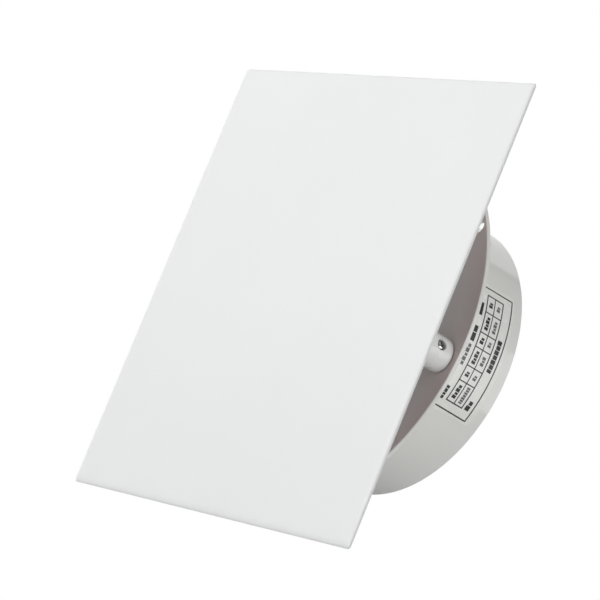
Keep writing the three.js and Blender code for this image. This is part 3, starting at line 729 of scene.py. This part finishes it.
TOPC = -15.0
rings = [sector_ring(1.4, TOPC), sector_ring(1.0, TOPC)]
for k in range(7):
    a = math.pi / 2 * k / 6
    rings.append(sector_ring(0.9 * (1 - math.sin(a)), TOPC + 0.9 * (1 - math.cos(a))))
rings.append(sector_ring(0, -2.6))
rings.append(sector_ring(0, -2.3))
cover = outline_rings(rings, "terminal_cover_moulding")
inner = [sector_ring(1.5, TOPC + 1.6), sector_ring(1.5, 1.0)]
bm = bmesh.new()
loops = [[bm.verts.new(Vector(p) * MM) for p in ring] for ring in inner]
for k in range(len(loops[0])):
    q = (k + 1) % len(loops[0])
    bm.faces.new((loops[0][k], loops[0][q], loops[1][q], loops[1][k]))
bm.faces.new(loops[0])
bm.faces.new(loops[1])
boolean(cover, bm)
boolean(cover, bar_bm(1.7, -17, -12, 32, 70.1, 0, turned(262.2)))
notch = box_bm(66.5, 71.7, -7.6, 1, -3, 3, turned(238.6))
boolean(cover, notch)
place(cover, HOUSING, "housing", "housing_white", "terminal_cover")
s = pan_screw("terminal_cover_screw_fine", 2.8, 1.8, 1.0, 7.0, turned(262.2) @ Matrix.Translation((70.1 * MM, (TOPC - 0.1) * MM, 0)) @ Matrix.Rotation(0.4, 4, "Y"))
place(s, ZINC, "housing", "zinc_screw", "terminal_cover_screw")

grommet = lathe("grommet_fine", [(4, -3.9, 0.5), (6.3, -3.9, 0.7), (6.3, -2.3, 0.2), (4.9, -2.15, 0.1), (4.9, -0.2, 0.2), (4, -0.2, 0.2)], segments=72,
                matrix=turned(282.5) @ Matrix.Translation((70.1 * MM, 0, 0)))
place(grommet, RUBBER, "housing", "black_rubber", "cable_grommet")


# ------------------------------------------------------------------ motor lead and its tie
def catmull(points, per=10):
    out = []
    P = [points[0] * 2 - points[1]] + points + [points[-1] * 2 - points[-2]]
    for i in range(1, len(P) - 2):
        p0, p1, p2, p3 = P[i - 1], P[i], P[i + 1], P[i + 2]
        t0 = 0.0
        t1 = t0 + (p1 - p0).length ** 0.5
        t2 = t1 + (p2 - p1).length ** 0.5
        t3 = t2 + (p3 - p2).length ** 0.5
        for k in range(per):
            t = t1 + (t2 - t1) * k / per
            a1 = p0 * ((t1 - t) / (t1 - t0)) + p1 * ((t - t0) / (t1 - t0))
            a2 = p1 * ((t2 - t) / (t2 - t1)) + p2 * ((t - t1) / (t2 - t1))
            a3 = p2 * ((t3 - t) / (t3 - t2)) + p3 * ((t - t2) / (t3 - t2))
            b1 = a1 * ((t2 - t) / (t2 - t0)) + a2 * ((t - t0) / (t2 - t0))
            b2 = a2 * ((t3 - t) / (t3 - t1)) + a3 * ((t - t1) / (t3 - t1))
            out.append(b1 * ((t2 - t) / (t2 - t1)) + b2 * ((t - t1) / (t2 - t1)))
    out.append(points[-1].copy())
    return out


def sweep(name, path, radius, sides=24, squash=1.0):
    bm = bmesh.new()
    up = Vector((0, 1, 0))
    rings = []
    for i, p in enumerate(path):
        d = (path[min(i + 1, len(path) - 1)] - path[max(i - 1, 0)]).normalized()
        n = (up - d * up.dot(d)).normalized()
        b = d.cross(n)
        rings.append([
            bm.verts.new((p + (n * math.cos(2 * math.pi * k / sides) * squash + b * math.sin(2 * math.pi * k / sides)) * radius) * MM)
            for k in range(sides)
        ])
    for a, b in zip(rings, rings[1:]):
        for k in range(sides):
            q = (k + 1) % sides
            bm.faces.new((a[k], a[q], b[q], b[k]))
    bm.faces.new(rings[0])
    bm.faces.new(rings[-1])
    return finish_mesh(bm, name, 45)


def polar(r, a, y):
    return Vector((r * math.cos(math.radians(a)), y, r * math.sin(math.radians(a))))


lead_path = catmull([
    polar(27.6, 229, -4.4), polar(30.5, 228.2, -4.7), polar(34.5, 226.4, -5.9), polar(40, 225.2, -6.2), polar(48, 225, -6.2),
    polar(54, 226.2, -6.1), polar(59.5, 229.6, -5.6), polar(65, 234, -5.1), polar(69, 238.2, -5.0), polar(70, 241.2, -5.0),
])
lead = sweep("motor_lead_fine", lead_path, 1.42)
place(lead, JACKET, "housing", "lead_jacket", "motor_lead")

tie = outline_rings([[(42.6, y, z), (45.4, y, z), (45.4, y, z), (42.6, y, z)] for y, z in ((0, 0), (0, 1))], "tie_seed")
bpy.data.objects.remove(tie)
loop = rounded([(-13.75, -5.7, 1.2), (-4.2, -5.7, 1.6), (-4.2, 5.7, 1.6), (-13.75, 5.7, 1.2)], True, 6, 0.2)
hole = rounded([(-12.95, -5.05, 0.8), (-4.75, -5.05, 1.1), (-4.75, 5.05, 1.1), (-12.95, 5.05, 0.8)], True, 6, 0.2)
bm = bmesh.new()
sets = []
for pts in (loop, hole):
    for x in (42.7, 45.3):
        sets.append([bm.verts.new((x * MM, p[0] * MM, p[1] * MM)) for p in pts])
for a, b in ((sets[0], sets[1]), (sets[1], sets[3]), (sets[3], sets[2]), (sets[2], sets[0])):
    for k in range(len(a)):
        q = (k + 1) % len(a)
        bm.faces.new((a[k], a[q], b[q], b[k]))
tie = finish_mesh(bm, "cable_tie_fine", 35)
boolean(tie, box_bm(42.2, 45.8, -13.85, -10.9, 3.6, 6.0), "UNION")
bevel(tie, 0.15, 2, angle=50)
move(tie, turned(225))
place(tie, NYLON, "housing", "tie_nylon", "cable_tie")

# ------------------------------------------------------------------ rating sticker
RS = 59.3


def on_wall(angle, depth, lift):
    """A point on the spigot's outside; depths on the sticker are measured from the flange's front face."""
    g = math.radians(angle)
    return Vector(((RS + lift) * math.cos(g), depth - 2.0, (RS + lift) * math.sin(g)))


def patch(a0, a1, y0, y1, lift0, lift1, corner=0.0, name="patch", columns=None):
    """A thin curved patch on the spigot, between two angles and two depths, with rounded corners."""
    deg = 180 / math.pi / RS  # degrees per mm of arc
    width = (a1 - a0) / deg
    marks = {0.0, width}
    if corner:
        for k in range(1, 7):
            d = corner * (1 - math.cos(math.pi / 2 * k / 6))
            marks |= {d, width - d}
    n = columns or max(1, int(width / 1.3))
    marks |= {width * k / n for k in range(1, n)}
    marks = sorted(x for x in marks if 0 <= x <= width)
    marks = [x for i, x in enumerate(marks) if i == 0 or x - marks[i - 1] > 0.01 or x == width]
    bm = bmesh.new()
    cols = []
    for x in marks:
        d = min(x, width - x)
        cutback = corner - math.sqrt(max(0.0, corner**2 - (corner - d) ** 2)) if corner and d < corner else 0.0
        g = a0 + x * deg
        cols.append([
            bm.verts.new(on_wall(g, y0 + cutback, lift0) * MM), bm.verts.new(on_wall(g, y1 - cutback, lift0) * MM),
            bm.verts.new(on_wall(g, y1 - cutback, lift1) * MM), bm.verts.new(on_wall(g, y0 + cutback, lift1) * MM),
        ])
    for p, q in zip(cols, cols[1:]):
        for k in range(4):
            j = (k + 1) % 4
            bm.faces.new((p[k], p[j], q[j], q[k]))
    bm.faces.new(cols[0])
    bm.faces.new(cols[-1])
    return bm


label = finish_mesh(patch(-25.0, 29.5, 5.0, 37.3, 0.04, 0.2, 2.0), "rating_label_fine", 40)
place(label, LABEL, "housing", "label_vinyl", "rating_label")


def print_line(bm, a0, y0, a1, y1, w):
    """A printed line or bar on the sticker from one (angle, depth) to another, w mm wide, wrapped on the curve."""
    per = math.radians(1) * RS  # mm of arc in a degree
    p, q = Vector((a0 * per, y0)), Vector((a1 * per, y1))
    d = q - p
    side = Vector((-d.y, d.x)).normalized() * (w / 2)
    n = max(1, int(d.length / 1.0))
    cols = []
    for k in range(n + 1):
        c = p + d * (k / n)
        e, f = c - side, c + side
        cols.append([bm.verts.new(on_wall(v.x / per, v.y, lift) * MM) for v, lift in ((e, 0.19), (f, 0.19), (f, 0.225), (e, 0.225))])
    for a, b in zip(cols, cols[1:]):
        for k in range(4):
            j = (k + 1) % 4
            bm.faces.new((a[k], a[j], b[j], b[k]))
    bm.faces.new(cols[0])
    bm.faces.new(cols[-1])


def slanted(base, a):
    """The print sits about two degrees askew on the spigot."""
    return base + 0.0405 * (a + 19.5)


def print_word(bm, a0, y0, a1, y1, tall, marks, gap=0.3):
    """A row of small plain blocks of uneven width and height."""
    total = sum(w for w, _ in marks)
    at = 0.0
    for wide, high in marks:
        f0, f1 = (at + gap * 0.5) / total, (at + wide - gap * 0.5) / total
        at += wide
        shift = tall * (1 - high) / 2
        print_line(bm, a0 + (a1 - a0) * f0, y0 + (y1 - y0) * f0 + shift, a0 + (a1 - a0) * f1, y0 + (y1 - y0) * f1 + shift, tall * high)


SHORT = ((1.0, 1.0), (0.8, 0.8))
THREE = ((1.1, 1.0), (0.8, 0.8), (1.0, 1.0))
FOUR = ((1.0, 1.0), (0.8, 0.78), (1.1, 1.0), (0.9, 0.78))
FIVE = ((0.9, 0.8), (1.0, 1.0), (0.8, 0.8), (1.1, 1.0), (0.9, 0.8))
SEVEN = ((0.8, 1.0), (1.0, 0.92), (1.0, 1.0), (1.0, 0.92), (1.0, 1.0), (1.0, 0.92), (1.0, 1.0))

dark = bmesh.new()
# outer frame
print_line(dark, -23.6, 34.62, 27.65, 36.2, 0.56)
print_line(dark, -22.9, 9.0, 27.9, 10.6, 0.5)
print_line(dark, 27.9, 10.38, 27.65, 36.42, 0.54)
print_line(dark, -22.9, 8.78, -23.6, 34.84, 0.56)
# table: outline, middle rule and dividers
for base, w in ((20.9, 0.52), (25.1, 0.44), (29.55, 0.52)):
    print_line(dark, -19.6, slanted(base, -19.6), 24.75, slanted(base, 24.75), w)
for a, w in ((-19.6, 0.52), (-10.7, 0.46), (-4.5, 0.46), (3.3, 0.46), (9.3, 0.46), (17.65, 0.46), (24.75, 0.52)):
    print_line(dark, a + 0.05, slanted(20.68, a), a - 0.1, slanted(29.78, a), w)
# dark rows of blocks
print_word(dark, -20.2, 17.7, -14.4, 17.95, 2.5, FOUR, 0.12)
print_word(dark, -19.9, 31.9, -15.6, 32.1, 2.2, SHORT, 0.12)
print_word(dark, -3.4, 32.62, 10.0, 33.18, 2.3, SEVEN, 0.1)
print_word(dark, 4.3, 18.95, 10.9, 19.2, 2.5, SHORT, 0.08)
print_line(dark, 15.4, 19.7, 20.7, 19.95, 2.1)
cells = [-19.6, -10.7, -4.5, 3.3, 9.3, 17.65, 24.75]
for (a, b), share, marks in zip(zip(cells, cells[1:]), (0.66, 0.34, 0.7, 0.46, 0.66, 0.34), (FOUR, SHORT, FOUR, SHORT, FOUR, SHORT)):
    c, h = (a + b) / 2, (b - a) / 2 * share
    print_word(dark, c - h, slanted(23.1, c - h), c + h, slanted(23.1, c + h), 1.95, marks, 0.16)
rules = finish_mesh(dark, "label_rules", 40)
place(rules, PRINT, "housing", "label_vinyl")
light = bmesh.new()
for (a, b), share, marks in zip(zip(cells, cells[1:]), (0.8, 0.36, 0.5, 0.38, 0.62, 0.34), (SEVEN, SHORT, THREE, SHORT, FOUR, SHORT)):
    c, h = (a + b) / 2, (b - a) / 2 * share
    print_word(light, c - h, slanted(27.35, c - h), c + h, slanted(27.35, c + h), 1.75, marks, 0.18)
print_word(light, -5.6, 18.6, 3.3, 18.95, 1.75, FIVE, 0.18)
greys = finish_mesh(light, "label_figures", 40)
place(greys, PRINT_GREY, "housing", "label_vinyl")

# ------------------------------------------------------------------ floor, world and lights
bm = bmesh.new()
bmesh.ops.create_grid(bm, x_segments=1, y_segments=1, size=6.0)
floor_me = bpy.data.meshes.new("floor")
bm.to_mesh(floor_me)
bm.free()
floor = bpy.data.objects.new("floor", floor_me)
floor.location = (0, 0, -1.6)
scene.collection.objects.link(floor)
fmat, fnt, fb = nodes_of("floor_pale")
fb.inputs["Base Color"].default_value = (0.54, 0.54, 0.54, 1)
fb.inputs["Roughness"].default_value = 0.8
floor_me.materials.append(fmat)

ROOM, BACKDROP = 0.025, 0.92
scene.view_settings.view_transform = "Standard"
scene.view_settings.look = "None"

world = bpy.data.worlds.new("world")
scene.world = world
world.use_nodes = True
wn = world.node_tree
for n in list(wn.nodes):
    wn.nodes.remove(n)
out = wn.nodes.new("ShaderNodeOutputWorld")
seen = wn.nodes.new("ShaderNodeBackground")
seen.inputs["Color"].default_value = (1, 1, 1, 1)
seen.inputs["Strength"].default_value = 1.0
lit = wn.nodes.new("ShaderNodeBackground")
lit.inputs["Color"].default_value = (1, 1, 1, 1)
lit.inputs["Strength"].default_value = 1.0
path = wn.nodes.new("ShaderNodeLightPath")
mix = wn.nodes.new("ShaderNodeMixShader")
wn.links.new(path.outputs["Is Camera Ray"], mix.inputs["Fac"])
wn.links.new(lit.outputs["Background"], mix.inputs[1])
wn.links.new(seen.outputs["Background"], mix.inputs[2])
wn.links.new(mix.outputs["Shader"], out.inputs["Surface"])
# what lights the object: a dim room with a white backdrop behind it, seen from the camera
sky = wn.nodes.new("ShaderNodeTexCoord")
facing = wn.nodes.new("ShaderNodeVectorMath")
facing.operation = "DOT_PRODUCT"
facing.inputs[1].default_value = -CAM_BACK
wn.links.new(sky.outputs["Generated"], facing.inputs[0])
backdrop = wn.nodes.new("ShaderNodeMapRange")
backdrop.inputs["From Min"].default_value = 0.572
backdrop.inputs["From Max"].default_value = 0.592
backdrop.inputs["To Min"].default_value = ROOM
backdrop.inputs["To Max"].default_value = BACKDROP
wn.links.new(facing.outputs["Value"], backdrop.inputs["Value"])
wn.links.new(backdrop.outputs["Result"], lit.inputs["Strength"])


def heading(az, el):
    """Azimuth 0 is in front of the panel (-Y), 90 on the right (+X)."""
    a, e = math.radians(az), math.radians(el)
    return Vector((math.sin(a) * math.cos(e), -math.cos(a) * math.cos(e), math.sin(e)))


def area(name, direction, distance, size, power, size_y=None):
    d = Vector(direction).normalized()
    la = bpy.data.lights.new(name, "AREA")
    la.shape = "RECTANGLE"
    la.size = size
    la.size_y = size_y or size
    la.energy = power
    ob = bpy.data.objects.new(name, la)
    ob.location = d * distance
    ob.rotation_mode = "QUATERNION"
    ob.rotation_quaternion = d.to_track_quat("Z", "Y")
    scene.collection.objects.link(ob)
    return ob


area("key_top", heading(-40, 30), 4.4, 3.6, 85)
area("key_front", heading(-22, 0), 4.4, 3.6, 112, 2.8)
area("key_high", heading(-20, 70), 3.0, 2.0, 10)
area("side_right", heading(95, 2), 2.4, 1.6, 15, 1.0)
area("rear_right", heading(118, 3), 2.2, 1.6, 17)
area("rear_high", heading(100, 50), 2.2, 1.4, 4)
